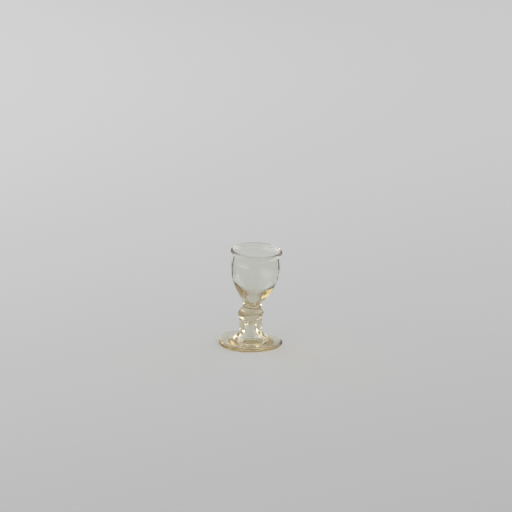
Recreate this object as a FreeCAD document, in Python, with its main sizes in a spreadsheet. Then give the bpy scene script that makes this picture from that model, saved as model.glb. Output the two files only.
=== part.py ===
"""A small hand-blown goblet of clear, faintly straw-coloured glass.

Four gathers of glass, fused face to face while hot: foot, stem, knop and bowl.
A bubble of air is shut in where the stem meets the foot.
Origin: the middle of the foot's underside, on the table. +Z is up and +X is the
side that the bowl leans to. Millimetres and degrees.
"""
import FreeCAD, Part
import math
import os

import Sketcher

os.makedirs("parts", exist_ok=True)
doc = FreeCAD.newDocument("goblet")

# Driving dimensions
SIZES = {
    # foot: a disc that rises to a collar and leans a little, cut level above and below
    "foot_lean": 2.5,
    "foot_diameter": 40.0,
    "foot_edge": 1.9,
    "foot_edge_round": 0.7,
    "foot_bevel_width": 0.7,
    "foot_bevel_height": 0.6,
    "foot_brim_width": 7.4,
    "foot_brim_height": 3.2,
    "foot_collar_diameter": 15.8,
    "foot_collar_height": 6.4,
    "foot_ring_width": 2.3,
    "foot_hollow_depth": 0.5,
    # bubble: the air shut in between the stem and the foot, widest low in the foot
    "bubble_floor": 2.9,
    "bubble_rise": 1.2,
    "bubble_diameter": 16.0,
    "bubble_mouth_diameter": 11.6,
    "bubble_bore_diameter": 6.4,
    "bubble_bore_height": 4.9,
    "bubble_dome_rise": 2.4,
    # stem: upright, a thick tube closed at its top, thickest at the foot's collar
    "stem_base_diameter": 15.8,
    "stem_top_diameter": 13.5,
    "stem_height": 8.0,
    # knop: a low ring and a round ball with a short neck, cut askew above
    "knop_base_diameter": 13.5,
    "knop_groove_diameter": 13.7,
    "knop_groove_height": 2.2,
    "knop_diameter": 15.7,
    "knop_belly_height": 4.9,
    "knop_neck_diameter": 12.4,
    "knop_shoulder_height": 8.0,
    "knop_height": 8.8,
    # bowl: leaning, its base a little right of the stem; a solid funnel, an ovoid wall, a beaded lip
    "bowl_lean": 4.8,
    "bowl_shift": 0.5,
    "bowl_height": 37.4,
    "bowl_base_diameter": 11.8,
    "bowl_funnel_diameter": 14.4,
    "bowl_funnel_height": 5.0,
    "bowl_flank_diameter": 26.8,
    "bowl_flank_drop": 9.6,
    "bowl_diameter": 30.1,
    "bowl_neck_diameter": 28.8,
    "bowl_neck_rise": 6.2,
    "bowl_wall": 1.0,
    "lip_height": 4.6,
    "lip_diameter": 31.9,
    "lip_bead": 1.9,
    # well: the hollow of the bowl, an ovoid that narrows to a round-ended cone over the floor
    "well_floor": 1.7,
    "well_shoulder_diameter": 24.6,
    "well_shoulder_drop": 10.2,
    "well_throat_diameter": 6.8,
    "well_throat_rise": 2.7,
}

# How far an arc stands off its chord, as a share of the chord, to the right of the way round the outline
EDGE_ROUND_SHARE = 0.207
FOOT_COLLAR_SHARE = -0.115
BUBBLE_SHARE = 0.05
KNOP_RING_SHARE = 0.2
BOWL_FUNNEL_SHARE = -0.05
BOWL_FLANK_SHARE = 0.03
LIP_FLARE_SHARE = -0.07
LIP_BEAD_SHARE = 0.714
LIP_THROAT_SHARE = 0.05
WELL_FLANK_SHARE = -0.025
# Where the lip's bead begins below the rim, inward and down from the lip's outer top corner, in beads
LIP_UNDER_SHARES = (0.125, 0.825)
# The disc that trims a piece, in the diameters of that piece
TRIM_SHARE = 1.5

sheet = doc.addObject("Spreadsheet::Sheet", "sizes")
for row, (alias, value) in enumerate(SIZES.items(), start=1):
    sheet.set(f"A{row}", alias)
    sheet.set(f"B{row}", str(value))
    sheet.setAlias(f"B{row}", alias)
doc.recompute()

# Where the stem stands on the foot's leaning collar, and the heights of its joints above the table
STEM_X = "sizes.foot_collar_height * tan(sizes.foot_lean)"
KNOP_Z = "sizes.foot_collar_height + sizes.stem_height"
BOWL_Z = f"{KNOP_Z} + sizes.knop_height"
# Radii and heights that follow from other sizes
FOOT_BASE_R = "(sizes.foot_diameter / 2 - sizes.foot_bevel_width)"
HOLLOW_R = f"({FOOT_BASE_R} - sizes.foot_ring_width)"
NECK_Z = "(sizes.bowl_height - sizes.lip_height)"
WIDEST_Z = f"({NECK_Z} - sizes.bowl_neck_rise)"


def size(expression):
    """The value of an expression of the sheet's sizes."""
    return float(sheet.evalExpression(expression))


def new_body(name):
    """An empty body whose label names its file."""
    body = doc.addObject("PartDesign::Body", name)
    body.Label = name
    return body


def new_sketch(body, name, role):
    """An empty sketch on the origin plane of the body that has this role."""
    sketch = body.newObject("Sketcher::SketchObject", name)
    planes = {feature.Role: feature for feature in body.Origin.OriginFeatures}
    sketch.AttachmentSupport = [(planes[role], "")]
    sketch.MapMode = "FlatFace"
    return sketch


def bind(sketch, constraint, expression):
    """Adds a dimension to a sketch and ties it to the sheet."""
    index = sketch.addConstraint(constraint)
    sketch.setExpression(f"Constraints[{index}]", expression)


def pin(sketch, geometry, end, corner):
    """Holds one end of a line or an arc, or an arc's centre, at two expressions; None leaves one free."""
    for kind, expression, axis in (("DistanceX", corner[0], -2), ("DistanceY", corner[1], -1)):
        if expression == "0":
            sketch.addConstraint(Sketcher.Constraint("PointOnObject", geometry, end, axis))
        elif expression is not None:
            bind(sketch, Sketcher.Constraint(kind, -1, 1, geometry, end, size(expression)), expression)


def ruled_share(start, finish, rule):
    """The bulge share of an arc that stands upright at one end, or that crosses the axis level at a pole."""
    across = finish.x - start.x
    along = finish.y - start.y
    if rule == "pole":
        return math.copysign(math.tan(math.atan2(abs(along), abs(across)) / 2) / 2, along)
    share = math.tan(math.atan2(abs(across), abs(along)) / 2) / 2
    turn = across * along if rule == "finish" else -across * along
    return math.copysign(share, turn)


def arc_between(start, finish, share):
    """The anticlockwise arc between two points for a bulge share."""
    if share < 0:
        start, finish = finish, start
    chord = finish - start
    radius = chord.Length * (1 / (8 * abs(share)) + abs(share) / 2)
    left = FreeCAD.Vector(-chord.y, chord.x, 0).normalize()
    centre = (start + finish) * 0.5 + left * (radius - abs(share) * chord.Length)
    angles = [math.atan2(point.y - centre.y, point.x - centre.x) for point in (start, finish)]
    return Part.ArcOfCircle(Part.Circle(centre, FreeCAD.Vector(0, 0, 1), radius), *angles)


def draw_outline(sketch, corners, arcs):
    """Closes an outline through corners given as pairs of expressions.

    arcs maps a corner's index to the arc that leaves it: a bulge share, "start" or
    "finish" for an arc that stands upright at that end, or "pole" for one whose
    centre is on the axis. The rest are lines.
    """
    points = [FreeCAD.Vector(size(x), size(z), 0) for x, z in corners]
    ends = []
    for index, start in enumerate(points):
        finish = points[(index + 1) % len(points)]
        following = corners[(index + 1) % len(points)]
        if index not in arcs:
            ends.append((sketch.addGeometry(Part.LineSegment(start, finish), False), 1, 2))
            continue
        rule = arcs[index]
        share = ruled_share(start, finish, rule) if isinstance(rule, str) else rule
        arc = sketch.addGeometry(arc_between(start, finish, share), False)
        ends.append((arc, 1, 2) if share > 0 else (arc, 2, 1))
        if rule == "start":
            pin(sketch, arc, 3, (None, corners[index][1]))
        elif rule == "finish":
            pin(sketch, arc, 3, (None, following[1]))
        elif rule == "pole":
            pin(sketch, arc, 3, ("0", None))
        else:
            chord = f"hypot({following[0]} - ({corners[index][0]}); {following[1]} - ({corners[index][1]}))"
            radius = f"{chord} * {1 / (8 * abs(share)) + abs(share) / 2}"
            bind(sketch, Sketcher.Constraint("Radius", arc, size(radius)), radius)
    for index, (geometry, first, last) in enumerate(ends):
        following = ends[(index + 1) % len(ends)]
        sketch.addConstraint(Sketcher.Constraint("Coincident", geometry, last, following[0], following[1]))
        pin(sketch, geometry, first, corners[index])


def turn_sketch(body, name, sketch, kind="PartDesign::Revolution"):
    """Turns a sketch once round its own upright axis, to add or to cut."""
    feature = body.newObject(kind, name)
    feature.Profile = sketch
    feature.ReferenceAxis = (sketch, ["V_Axis"])
    feature.Angle = 360
    return feature


def stand_at(body, x, z):
    """Moves a body to two expressions of the sheet's sizes."""
    body.setExpression("Placement.Base.x", x)
    body.setExpression("Placement.Base.z", z)


def trim_flat(body, name, diameter, height="0", upward=False, lean=None):
    """Cuts off all of a body that lies beyond a plane at a height on its axis, which may lean to +X."""
    sketch = new_sketch(body, f"{name}_outline", "XY_Plane")
    turn = FreeCAD.Rotation(FreeCAD.Vector(0, 1, 0), size(lean) if lean else 0)
    sketch.AttachmentOffset = FreeCAD.Placement(FreeCAD.Vector(0, 0, size(height)), turn)
    sketch.setExpression("AttachmentOffset.Base.z", height)
    if lean:
        sketch.setExpression("AttachmentOffset.Rotation.Angle", lean)
    radius = f"{diameter} * {TRIM_SHARE} / 2"
    ring = sketch.addGeometry(Part.Circle(FreeCAD.Vector(), FreeCAD.Vector(0, 0, 1), size(radius)), False)
    sketch.addConstraint(Sketcher.Constraint("Coincident", ring, 3, -1, 1))
    bind(sketch, Sketcher.Constraint("Radius", ring, size(radius)), radius)
    cut = body.newObject("PartDesign::Pocket", name)
    cut.Profile = sketch
    cut.Type = "ThroughAll"
    cut.Reversed = upward
    return cut


def make_foot():
    """A disc with a bevelled edge that rises to a collar, on a flat ring, with the bubble's lower part."""
    body = new_body("foot")
    disc = new_sketch(body, "foot_disc_outline", "XZ_Plane")
    disc.AttachmentOffset = FreeCAD.Placement(
        FreeCAD.Vector(), FreeCAD.Rotation(FreeCAD.Vector(0, 0, 1), -size("sizes.foot_lean")))
    disc.setExpression("AttachmentOffset.Rotation.Angle", "-sizes.foot_lean")
    below = "-sizes.foot_diameter * sin(sizes.foot_lean)"
    above = "sizes.foot_collar_height + sizes.foot_collar_diameter * sin(sizes.foot_lean)"
    draw_outline(disc, [
        ("0", below),
        ("sizes.foot_diameter / 2", below),
        ("sizes.foot_diameter / 2", "sizes.foot_edge - sizes.foot_edge_round"),
        ("sizes.foot_diameter / 2 - sizes.foot_edge_round", "sizes.foot_edge"),
        ("sizes.foot_diameter / 2 - sizes.foot_brim_width", "sizes.foot_brim_height"),
        ("sizes.foot_collar_diameter / 2", "sizes.foot_collar_height"),
        ("sizes.foot_collar_diameter / 2", above),
        ("0", above),
    ], {2: EDGE_ROUND_SHARE, 4: FOOT_COLLAR_SHARE})
    turn_sketch(body, "foot_disc", disc)
    trim_flat(body, "foot_base_trim", "sizes.foot_diameter")
    trim_flat(body, "foot_collar_trim", "sizes.foot_diameter", "sizes.foot_collar_height", upward=True)
    doc.recompute()
    trimmed = body.Shape.Volume

    bevel = new_sketch(body, "foot_bevel_outline", "XZ_Plane")
    outside = "(sizes.foot_diameter / 2 + sizes.foot_bevel_width)"
    draw_outline(bevel, [
        (FOOT_BASE_R, "0"),
        (outside, "-sizes.foot_bevel_height"),
        (outside, "sizes.foot_bevel_height * 2"),
    ], {})
    turn_sketch(body, "foot_bevel", bevel, "PartDesign::Groove")
    doc.recompute()
    bevelled = body.Shape.Volume

    dish = new_sketch(body, "foot_hollow_outline", "XZ_Plane")
    draw_outline(dish, [
        ("0", below),
        (HOLLOW_R, below),
        (HOLLOW_R, "0"),
        ("0", "sizes.foot_hollow_depth"),
    ], {2: "pole"})
    turn_sketch(body, "foot_hollow", dish, "PartDesign::Groove")
    doc.recompute()
    dished = body.Shape.Volume

    bubble = new_sketch(body, "foot_bubble_outline", "XZ_Plane")
    bubble.AttachmentOffset = FreeCAD.Placement(FreeCAD.Vector(size(STEM_X), 0, 0), FreeCAD.Rotation())
    bubble.setExpression("AttachmentOffset.Base.x", STEM_X)
    draw_outline(bubble, [
        ("0", "sizes.bubble_floor"),
        ("sizes.bubble_diameter / 2", "sizes.bubble_floor + sizes.bubble_rise"),
        ("sizes.bubble_mouth_diameter / 2", "sizes.foot_collar_height"),
        ("sizes.bubble_mouth_diameter / 2", above),
        ("0", above),
    ], {0: "pole", 1: BUBBLE_SHARE})
    turn_sketch(body, "foot_bubble", bubble, "PartDesign::Groove")
    doc.recompute()
    print(f"foot volume: trimmed {trimmed:.0f}, bevelled {bevelled:.0f}, dished {dished:.0f}, "
          f"hollow {body.Shape.Volume:.0f} mm3")
    return body


def make_stem():
    """A thick tube that narrows upwards to the knop, round the bubble's upper part."""
    body = new_body("stem")
    outline = new_sketch(body, "stem_outline", "XZ_Plane")
    draw_outline(outline, [
        ("0", "0"),
        ("sizes.stem_base_diameter / 2", "0"),
        ("sizes.stem_top_diameter / 2", "sizes.stem_height"),
        ("0", "sizes.stem_height"),
    ], {1: "finish"})
    turn_sketch(body, "stem_turned", outline)
    doc.recompute()
    solid = body.Shape.Volume

    bubble = new_sketch(body, "stem_bubble_outline", "XZ_Plane")
    draw_outline(bubble, [
        ("0", "-sizes.foot_collar_height"),
        ("sizes.bubble_mouth_diameter / 2", "-sizes.foot_collar_height"),
        ("sizes.bubble_mouth_diameter / 2", "0"),
        ("sizes.bubble_bore_diameter / 2", "sizes.bubble_bore_height"),
        ("0", "sizes.bubble_bore_height + sizes.bubble_dome_rise"),
    ], {2: "finish", 3: "pole"})
    turn_sketch(body, "stem_bubble", bubble, "PartDesign::Groove")
    doc.recompute()
    print(f"stem volume: solid {solid:.0f}, hollow {body.Shape.Volume:.0f} mm3")
    stand_at(body, STEM_X, "sizes.foot_collar_height")
    return body


def make_knop():
    """A low ring under a round ball, with a short neck above that is cut to the bowl's lean."""
    body = new_body("knop")
    outline = new_sketch(body, "knop_outline", "XZ_Plane")
    above = "sizes.knop_height + sizes.knop_neck_diameter * sin(sizes.bowl_lean)"
    draw_outline(outline, [
        ("0", "0"),
        ("sizes.knop_base_diameter / 2", "0"),
        ("sizes.knop_groove_diameter / 2", "sizes.knop_groove_height"),
        ("sizes.knop_diameter / 2", "sizes.knop_belly_height"),
        ("sizes.knop_neck_diameter / 2", "sizes.knop_shoulder_height"),
        ("sizes.knop_neck_diameter / 2", above),
        ("0", above),
    ], {1: KNOP_RING_SHARE, 2: "finish", 3: "start"})
    turn_sketch(body, "knop_turned", outline)
    trim_flat(body, "knop_trim", "sizes.knop_diameter", "sizes.knop_height",
              upward=True, lean="sizes.bowl_lean")
    stand_at(body, STEM_X, KNOP_Z)
    return body


def make_bowl():
    """A solid funnel that opens into an ovoid wall, with a beaded lip and a well down into the funnel."""
    body = new_body("bowl")
    outline = new_sketch(body, "bowl_outline", "XZ_Plane")
    inward, down = LIP_UNDER_SHARES
    under_bead = (f"sizes.lip_diameter / 2 - sizes.lip_bead * {inward}",
                  f"sizes.bowl_height - sizes.lip_bead * {down}")
    draw_outline(outline, [
        ("0", "0"),
        ("sizes.bowl_base_diameter / 2", "0"),
        ("sizes.bowl_funnel_diameter / 2", "sizes.bowl_funnel_height"),
        ("sizes.bowl_flank_diameter / 2", f"{WIDEST_Z} - sizes.bowl_flank_drop"),
        ("sizes.bowl_diameter / 2", WIDEST_Z),
        ("sizes.bowl_neck_diameter / 2", NECK_Z),
        under_bead,
        ("sizes.lip_diameter / 2 - sizes.lip_bead", "sizes.bowl_height - sizes.lip_bead / 2"),
        ("sizes.bowl_neck_diameter / 2 - sizes.bowl_wall", NECK_Z),
        ("sizes.bowl_diameter / 2 - sizes.bowl_wall", WIDEST_Z),
        ("sizes.well_shoulder_diameter / 2", f"{WIDEST_Z} - sizes.well_shoulder_drop"),
        ("sizes.well_throat_diameter / 2", "sizes.well_floor + sizes.well_throat_rise"),
        ("0", "sizes.well_floor"),
    ], {
        1: BOWL_FUNNEL_SHARE, 2: BOWL_FLANK_SHARE, 3: "finish", 4: "start",
        5: LIP_FLARE_SHARE, 6: LIP_BEAD_SHARE, 7: LIP_THROAT_SHARE,
        8: "finish", 9: "start", 10: WELL_FLANK_SHARE, 11: "pole",
    })
    turn_sketch(body, "bowl_turned", outline)
    body.Placement = FreeCAD.Placement(
        FreeCAD.Vector(), FreeCAD.Rotation(FreeCAD.Vector(0, 1, 0), size("sizes.bowl_lean")))
    body.setExpression("Placement.Rotation.Angle", "sizes.bowl_lean")
    base_x = f"{STEM_X} + sizes.bowl_shift * cos(sizes.bowl_lean)"
    base_z = f"{BOWL_Z} - sizes.bowl_shift * sin(sizes.bowl_lean)"
    stand_at(body, base_x, base_z)
    return body


pieces = [make_foot(), make_stem(), make_knop(), make_bowl()]
doc.recompute()

faults = [entry.Name for entry in doc.Objects if {"Invalid", "Error"} & set(entry.State)]
faults += [body.Label for body in pieces if body.Shape.isNull() or not body.Shape.isValid()]
if faults:
    raise RuntimeError("failed: " + ", ".join(faults))

for body in pieces:
    box = body.Shape.optimalBoundingBox()
    print(f"{body.Label}: {body.Shape.Volume:.0f} mm3, solids {len(body.Shape.Solids)}, "
          f"x {box.XMin:.2f} to {box.XMax:.2f}, y {box.YMin:.2f} to {box.YMax:.2f}, "
          f"z {box.ZMin:.2f} to {box.ZMax:.2f}")
    body.Shape.exportStep(f"parts/{body.Label}.step")
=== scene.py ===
"""A small hand-blown goblet of faintly straw-coloured glass, on pale paper in soft studio light."""
import math

import bmesh
import bpy
import numpy as np
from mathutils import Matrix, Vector


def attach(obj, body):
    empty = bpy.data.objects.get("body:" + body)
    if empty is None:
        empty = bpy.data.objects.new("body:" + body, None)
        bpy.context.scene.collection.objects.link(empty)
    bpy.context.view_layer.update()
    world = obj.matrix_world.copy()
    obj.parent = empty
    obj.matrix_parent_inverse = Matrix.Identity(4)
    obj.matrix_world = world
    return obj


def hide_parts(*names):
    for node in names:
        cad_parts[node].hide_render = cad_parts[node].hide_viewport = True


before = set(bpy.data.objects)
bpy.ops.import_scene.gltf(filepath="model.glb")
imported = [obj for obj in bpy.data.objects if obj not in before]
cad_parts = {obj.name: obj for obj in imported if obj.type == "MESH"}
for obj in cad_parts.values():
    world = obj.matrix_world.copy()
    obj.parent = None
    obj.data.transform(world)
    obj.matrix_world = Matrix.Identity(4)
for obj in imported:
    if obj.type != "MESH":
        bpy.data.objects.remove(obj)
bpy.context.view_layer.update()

scene = bpy.context.scene

# The shapes below are in millimetres, and the meshes in metres
METRES = 0.001
# The spacing of the rings along a curve, and the air that parts two fused faces
STEP = 0.25
AIR = 0.001
# The points round each ring, and the radius below which a ring is a single point on the axis
SIDES = 192
ON_AXIS = 1e-9


# Curves and turned meshes

def smooth(points):
    """A natural cubic spline through points, sampled about evenly; the last point is left out."""
    points = np.array(points, float)
    if len(points) == 2:
        count = max(1, round(float(np.linalg.norm(points[1] - points[0])) / STEP / 2))
        return [tuple(points[0] + (points[1] - points[0]) * k / count) for k in range(count)]
    knots = np.r_[0, np.cumsum(np.linalg.norm(np.diff(points, axis=0), axis=1))]
    gaps = np.diff(knots)
    count = len(points)
    system = np.zeros((count, count))
    right = np.zeros((count, 2))
    system[0, 0] = system[-1, -1] = 1
    for i in range(1, count - 1):
        system[i, i - 1:i + 2] = gaps[i - 1], 2 * (gaps[i - 1] + gaps[i]), gaps[i]
        right[i] = 6 * ((points[i + 1] - points[i]) / gaps[i] - (points[i] - points[i - 1]) / gaps[i - 1])
    second = np.linalg.solve(system, right)
    made = []
    total = max(2, round(float(knots[-1]) / STEP))
    for t in knots[-1] * np.arange(total) / total:
        i = min(int(np.searchsorted(knots, t, side="right")) - 1, count - 2)
        a, b = (knots[i + 1] - t) / gaps[i], (t - knots[i]) / gaps[i]
        bend = ((a ** 3 - a) * second[i] + (b ** 3 - b) * second[i + 1]) * gaps[i] ** 2 / 6
        made.append(tuple(a * points[i] + b * points[i + 1] + bend))
    return made


def turned(name, stretches, place):
    """A closed mesh turned about the upright axis from stretches of (radius, height) points.

    A stretch marked "seam" is a face fused to the next piece. Corners between stretches stay sharp.
    place moves the turned points to where they are in the crooked goblet.
    """
    rings, fused, sharp = [], [], set()
    for kind, points in stretches:
        sharp.add(len(rings))
        made = smooth(points)
        rings += made
        fused += [kind == "seam"] * len(made)
    rings.append(tuple(stretches[-1][1][-1]))
    mesh = bmesh.new()
    seam = mesh.faces.layers.float.new("seam")
    angles = np.arange(SIDES) * 2 * math.pi / SIDES
    loops = []
    for radius, height in rings:
        if radius < ON_AXIS:
            local = np.array([[0.0, 0.0, height]])
        else:
            local = np.c_[radius * np.cos(angles), radius * np.sin(angles), np.full(SIDES, height)]
        made = [mesh.verts.new(point) for point in place(local) * METRES]
        loops.append(made if len(made) > 1 else made * SIDES)
    for i in range(len(loops) - 1):
        for j in range(SIDES):
            k = (j + 1) % SIDES
            corners = [loops[i][j], loops[i][k], loops[i + 1][k], loops[i + 1][j]]
            # On the axis two corners are one point
            face = mesh.faces.new(list(dict.fromkeys(corners)))
            face.smooth = True
            face[seam] = 1.0 if fused[i] else 0.0
    for i in sharp:
        if loops[i][0] is not loops[i][1]:
            for j in range(SIDES):
                edge = mesh.edges.get((loops[i][j], loops[i][(j + 1) % SIDES]))
                edge.smooth = False
    bmesh.ops.recalc_face_normals(mesh, faces=mesh.faces)
    data = bpy.data.meshes.new(name)
    mesh.to_mesh(data)
    mesh.free()
    piece = bpy.data.objects.new(name, data)
    scene.collection.objects.link(piece)
    return piece


# Glass

def glass_material():
    """Smooth glass, straw-coloured in its thickness, that lets light through to its shadow.

    The fused faces inside it are clear, so that the pieces look like one body.
    """
    material = bpy.data.materials.new("straw_glass")
    material.use_nodes = True
    tree = material.node_tree
    tree.nodes.clear()
    add = tree.nodes.new
    link = tree.links.new
    output = add("ShaderNodeOutputMaterial")
    glass = add("ShaderNodeBsdfPrincipled")
    glass.inputs["Base Color"].default_value = (0.95, 0.965, 0.945, 1)
    glass.inputs["Roughness"].default_value = 0.0
    glass.inputs["IOR"].default_value = 1.5
    glass.inputs["Transmission Weight"].default_value = 1.0
    seam = add("ShaderNodeAttribute")
    seam.attribute_name = "seam"
    clear = add("ShaderNodeBsdfTransparent")
    inner = add("ShaderNodeMixShader")
    link(seam.outputs["Fac"], inner.inputs[0])
    link(glass.outputs[0], inner.inputs[1])
    link(clear.outputs[0], inner.inputs[2])
    path = add("ShaderNodeLightPath")
    cast = add("ShaderNodeBsdfTransparent")
    cast.inputs["Color"].default_value = (0.93, 0.92, 0.88, 1)
    outer = add("ShaderNodeMixShader")
    link(path.outputs["Is Shadow Ray"], outer.inputs[0])
    link(inner.outputs[0], outer.inputs[1])
    link(cast.outputs[0], outer.inputs[2])
    link(outer.outputs[0], output.inputs["Surface"])
    straw = add("ShaderNodeVolumeAbsorption")
    straw.inputs["Color"].default_value = (0.80, 0.69, 0.42, 1)
    straw.inputs["Density"].default_value = 62.0
    link(straw.outputs[0], output.inputs["Volume"])
    return material


# Foot: level below, its top leaning down to +X

FOOT_LEAN = math.radians(2.5)
FOOT_TOP = 6.4
STEM_R = 7.9
BORE_R = 5.8
# The lean grows from none at the table to its whole at this height, and over this reach from the stem outward
LEAN_HEIGHT = 1.2
LEAN_REACH = 4.5
# The underside, which has no lean, is all that lies within this radius and height
UNDER_R = 17
UNDER_HEIGHT = 1


def place_foot(points):
    """The top leans, the underside is level, and nothing goes below the table."""
    moved = points.copy()
    reach = np.hypot(points[:, 0], points[:, 1])
    upper = np.clip(points[:, 2] / LEAN_HEIGHT, 0, 1)
    upper[(reach < UNDER_R) & (points[:, 2] < UNDER_HEIGHT)] = 0
    upper *= np.clip((reach - STEM_R) / LEAN_REACH, 0, 1)
    moved[:, 2] -= upper * points[:, 0] * math.tan(FOOT_LEAN)
    moved[:, 2] = np.maximum(moved[:, 2], 0)
    return moved


# The hollow underneath, the ring it stands on with the edge and the top, the fused ring, the bubble's lower end
foot = turned("foot_glass", [
    ("plain", [(0, 0.5), (5.5, 0.47), (11.0, 0.34), (16.4, 0.04)]),
    ("plain", [(16.4, 0.04), (17.2, 0.0), (19.2, 0.0), (19.7, 0.25), (19.97, 0.8), (19.8, 1.4), (19.2, 1.9),
               (18.2, 2.1), (16.0, 2.4), (12.6, 3.2), (9.9, 4.4), (8.4, 5.4), (STEM_R, FOOT_TOP)]),
    ("seam", [(STEM_R, FOOT_TOP), (BORE_R, FOOT_TOP)]),
    ("plain", [(BORE_R, FOOT_TOP), (7.3, 5.1), (8.2, 4.2), (7.4, 3.3), (4.0, 3.0), (0, 2.9)]),
], place_foot)


# Stem: a thick upright tube round the bubble, its top a little to +X of the foot's middle

STEM_X = 0.12
KNOP_Z = 14.4
STEM_TOP_R = 6.7


def place_stem(points):
    """The axis moves to STEM_X on its way up."""
    share = np.clip((points[:, 2] - FOOT_TOP) / (KNOP_Z - FOOT_TOP), 0, 1)
    moved = points.copy()
    moved[:, 0] += STEM_X * share
    return moved


# The bubble from its dome down, the fused ring, the outside, the fused top
stem = turned("stem_glass", [
    ("plain", [(0, 14.1), (1.7, 13.7), (2.9, 12.5), (3.35, 10.6), (4.2, 8.2), (BORE_R, FOOT_TOP + AIR)]),
    ("seam", [(BORE_R, FOOT_TOP + AIR), (STEM_R, FOOT_TOP + AIR)]),
    ("plain", [(STEM_R, FOOT_TOP + AIR), (7.2, 8.0), (7.0, 9.6), (6.95, 11.4), (6.85, 13.0), (6.7, 13.8),
               (STEM_TOP_R, KNOP_Z)]),
    ("seam", [(STEM_TOP_R, KNOP_Z), (0, KNOP_Z)]),
], place_stem)


# Bowl: its axis leans to +X and straightens towards the lip, and above its base it nods to the front

BOWL_X, BOWL_Z = 0.95, 23.25
LEAN_LOW, LEAN_HIGH = math.radians(6.0), math.radians(2.8)
BOWL_H = 37.4
BASE_R = 5.85
# The nod begins at this height over the base, and is whole after this rise
BOWL_NOD = math.radians(0.8)
NOD_START = 2.0
NOD_RISE = 8.0


def bowl_axis(height):
    """The axis's x, z and lean at a height along it."""
    share = np.clip(height / BOWL_H, 0, 1)
    lean = LEAN_LOW + (LEAN_HIGH - LEAN_LOW) * share
    middle = LEAN_LOW + (LEAN_HIGH - LEAN_LOW) * share / 2
    return BOWL_X + height * np.sin(middle), BOWL_Z + height * np.cos(middle), lean


def place_bowl(points):
    """The rings stand square to the leaning axis, and are then turned to the front by the nod."""
    x, z, lean = bowl_axis(points[:, 2])
    nod = BOWL_NOD * np.clip((points[:, 2] - NOD_START) / NOD_RISE, 0, 1)
    rise = z - points[:, 0] * np.sin(lean) - BOWL_Z
    return np.c_[x + points[:, 0] * np.cos(lean),
                 points[:, 1] * np.cos(nod) - rise * np.sin(nod),
                 BOWL_Z + rise * np.cos(nod) + points[:, 1] * np.sin(nod)]


# Heights over the bowl's base: up the outside, over the lip's bead, down the wall, into the well
OUTSIDE = [(BASE_R, AIR), (6.0, 1.95), (6.45, 3.24), (7.15, 4.7), (8.45, 7.1), (10.1, 9.7), (11.5, 12.2),
           (13.25, 16.2), (14.3, 19.0), (14.95, 22.7), (15.07, 25.6), (14.9, 28.6), (14.5, 31.6), (14.5, 33.4)]
LIP = [(15.0, 34.9), (15.65, 35.6), (15.95, 36.4), (15.65, 37.1), (15.0, 37.4), (14.35, 37.1), (14.05, 36.3),
       (13.75, 35.0), (13.45, 33.4)]
INSIDE = [(13.45, 32.0), (13.9, 29.0), (14.05, 25.6), (13.85, 22.5), (13.45, 19.3)]
WELL = [(12.3, 16.4), (10.4, 13.4), (7.9, 10.2), (5.7, 7.3), (4.1, 4.9), (2.9, 3.1), (1.6, 1.9), (0, 1.5)]
bowl = turned("bowl_glass", [
    ("seam", [(0, AIR), (BASE_R, AIR)]),
    ("plain", OUTSIDE + LIP + INSIDE + WELL),
], place_bowl)


# Knop: upright up to its belly, above which it leans over to the bowl's base

KNOP_BELLY_Z = 19.0


def place_knop(points):
    """Upright below, its top leaning with the bowl's base."""
    share = np.clip((points[:, 2] - KNOP_BELLY_Z) / (BOWL_Z - KNOP_BELLY_Z), 0, 1)
    moved = points.copy()
    moved[:, 0] += STEM_X * (1 - share) + BOWL_X * share
    moved[:, 2] -= share * points[:, 0] * math.tan(LEAN_LOW)
    return moved


# The fused base, the low ring, the ball and its neck, the fused top
knop = turned("knop_glass", [
    ("seam", [(0, KNOP_Z + AIR), (STEM_TOP_R, KNOP_Z + AIR)]),
    ("plain", [(STEM_TOP_R, KNOP_Z + AIR), (7.05, 14.9), (7.15, 15.5), (6.9, 16.1), (6.85, 16.6),
               (7.3, 17.4), (7.85, 18.8), (7.8, 20.2), (7.2, 21.5), (6.3, 22.25), (6.0, 22.6),
               (BASE_R, BOWL_Z)]),
    ("seam", [(BASE_R, BOWL_Z), (0, BOWL_Z)]),
], place_knop)

glass = glass_material()
for piece, node in ((foot, "foot"), (stem, "stem"), (knop, "knop"), (bowl, "bowl")):
    piece.data.materials.append(glass)
    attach(piece, "root")
    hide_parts(node)


# Paper, cards, lamps and camera, in metres

PAPER_GREY = 0.55
PAPER_HALF, PAPER_FRONT, PAPER_BACK = 3.0, -3.0, 1.2
# The paper lies a hair lower than the foot, so that their faces don't meet
PAPER_Z = -0.00002
CARD_GREY = 0.2
CARD_DISTANCE = 0.13
CARD_HALF, CARD_HEIGHT = 0.018, 0.045
LAMP_DISTANCE = 1.5
# The height at which the lamps are aimed
GOBLET_MIDDLE = Vector((0, 0, 0.03))
ROOM_LIGHT = 0.55


def sheet(name, corners, grey):
    """A flat matt sheet under or behind the goblet."""
    data = bpy.data.meshes.new(name)
    data.from_pydata(corners, [], [(0, 1, 2, 3)])
    made = bpy.data.objects.new(name, data)
    scene.collection.objects.link(made)
    material = bpy.data.materials.new(name)
    material.use_nodes = True
    surface = material.node_tree.nodes["Principled BSDF"]
    surface.inputs["Base Color"].default_value = (grey, grey, grey, 1)
    surface.inputs["Roughness"].default_value = 0.9
    surface.inputs["Specular IOR Level"].default_value = 0.1
    data.materials.append(material)
    return made


def card(name, azimuth):
    """A low dark card behind the goblet, seen only in the glass, to which it gives thin outlines."""
    a = math.radians(azimuth)
    place = Vector((math.sin(a), -math.cos(a), 0)) * CARD_DISTANCE
    along = Vector((math.cos(a), math.sin(a), 0)) * CARD_HALF
    up = Vector((0, 0, CARD_HEIGHT))
    corners = [place - along, place + along, place + along + up, place - along + up]
    made = sheet(name, corners, CARD_GREY)
    made.visible_camera = made.visible_diffuse = made.visible_shadow = False


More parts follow.
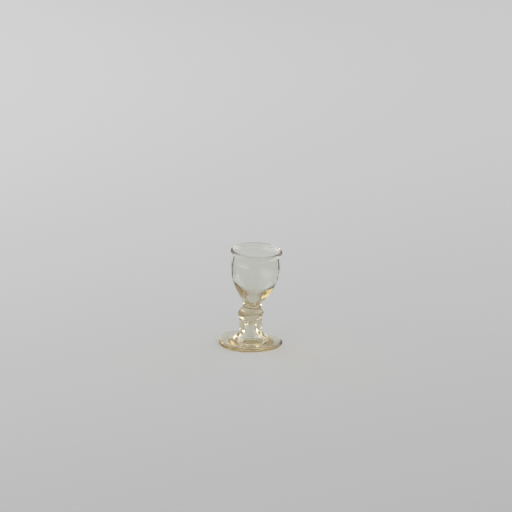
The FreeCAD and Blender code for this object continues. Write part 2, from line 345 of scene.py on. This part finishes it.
def softbox(name, azimuth, elevation, wide, high, radiance):
    """A panel round the goblet: azimuth from the camera's side, towards +X, in degrees."""
    a, e = math.radians(azimuth), math.radians(elevation)
    back = Vector((math.sin(a) * math.cos(e), -math.cos(a) * math.cos(e), math.sin(e)))
    data = bpy.data.lights.new(name, "AREA")
    data.shape = "RECTANGLE"
    data.size, data.size_y = wide, high
    data.energy = radiance * math.pi * wide * high
    lamp = bpy.data.objects.new(name, data)
    scene.collection.objects.link(lamp)
    lamp.location = back * LAMP_DISTANCE + GOBLET_MIDDLE
    lamp.rotation_mode = "QUATERNION"
    lamp.rotation_quaternion = (-back).to_track_quat("-Z", "Y")
    lamp.visible_camera = False


sheet("paper", [(-PAPER_HALF, PAPER_FRONT, PAPER_Z), (PAPER_HALF, PAPER_FRONT, PAPER_Z),
                (PAPER_HALF, PAPER_BACK, PAPER_Z), (-PAPER_HALF, PAPER_BACK, PAPER_Z)], PAPER_GREY)
card("left_card", -141)
card("right_card", 141)
softbox("key", -135, 42, wide=0.9, high=1.1, radiance=3.3)
softbox("side", -70, 16, wide=2.2, high=0.9, radiance=1.0)
softbox("fill", 125, 24, wide=1.5, high=1.2, radiance=1.2)

world = bpy.data.worlds.new("room")
scene.world = world
world.use_nodes = True
background = world.node_tree.nodes["Background"]
background.inputs["Color"].default_value = (1, 1, 1, 1)
background.inputs["Strength"].default_value = ROOM_LIGHT

# The camera: a long lens, 17 degrees above the horizon, with the foot's middle at its place in the frame
FRAME = 512
METRES_PER_PIXEL = 0.000623
FOOT_PIXEL = (250.45, 342.7)
PITCH = math.radians(17.0)
view = bpy.data.cameras.new("camera")
view.sensor_width = 36.0
view.lens = 300.0
view.clip_start, view.clip_end = 0.01, 100.0
camera = bpy.data.objects.new("camera", view)
scene.collection.objects.link(camera)
scene.camera = camera
toward = Vector((0, math.cos(PITCH), -math.sin(PITCH)))
turn = toward.to_track_quat("-Z", "Y")
camera.rotation_mode = "QUATERNION"
camera.rotation_quaternion = turn
distance = FRAME * METRES_PER_PIXEL * view.lens / view.sensor_width
across = (FRAME / 2 - FOOT_PIXEL[0]) * METRES_PER_PIXEL
down = (FOOT_PIXEL[1] - FRAME / 2) * METRES_PER_PIXEL
camera.location = turn @ Vector((across, down, distance))

scene.view_settings.view_transform = "Standard"
# Light goes in and out of the thick glass many times
scene.cycles.max_bounces = 32
scene.cycles.transmission_bounces = 32
scene.cycles.glossy_bounces = 16
scene.cycles.transparent_max_bounces = 48
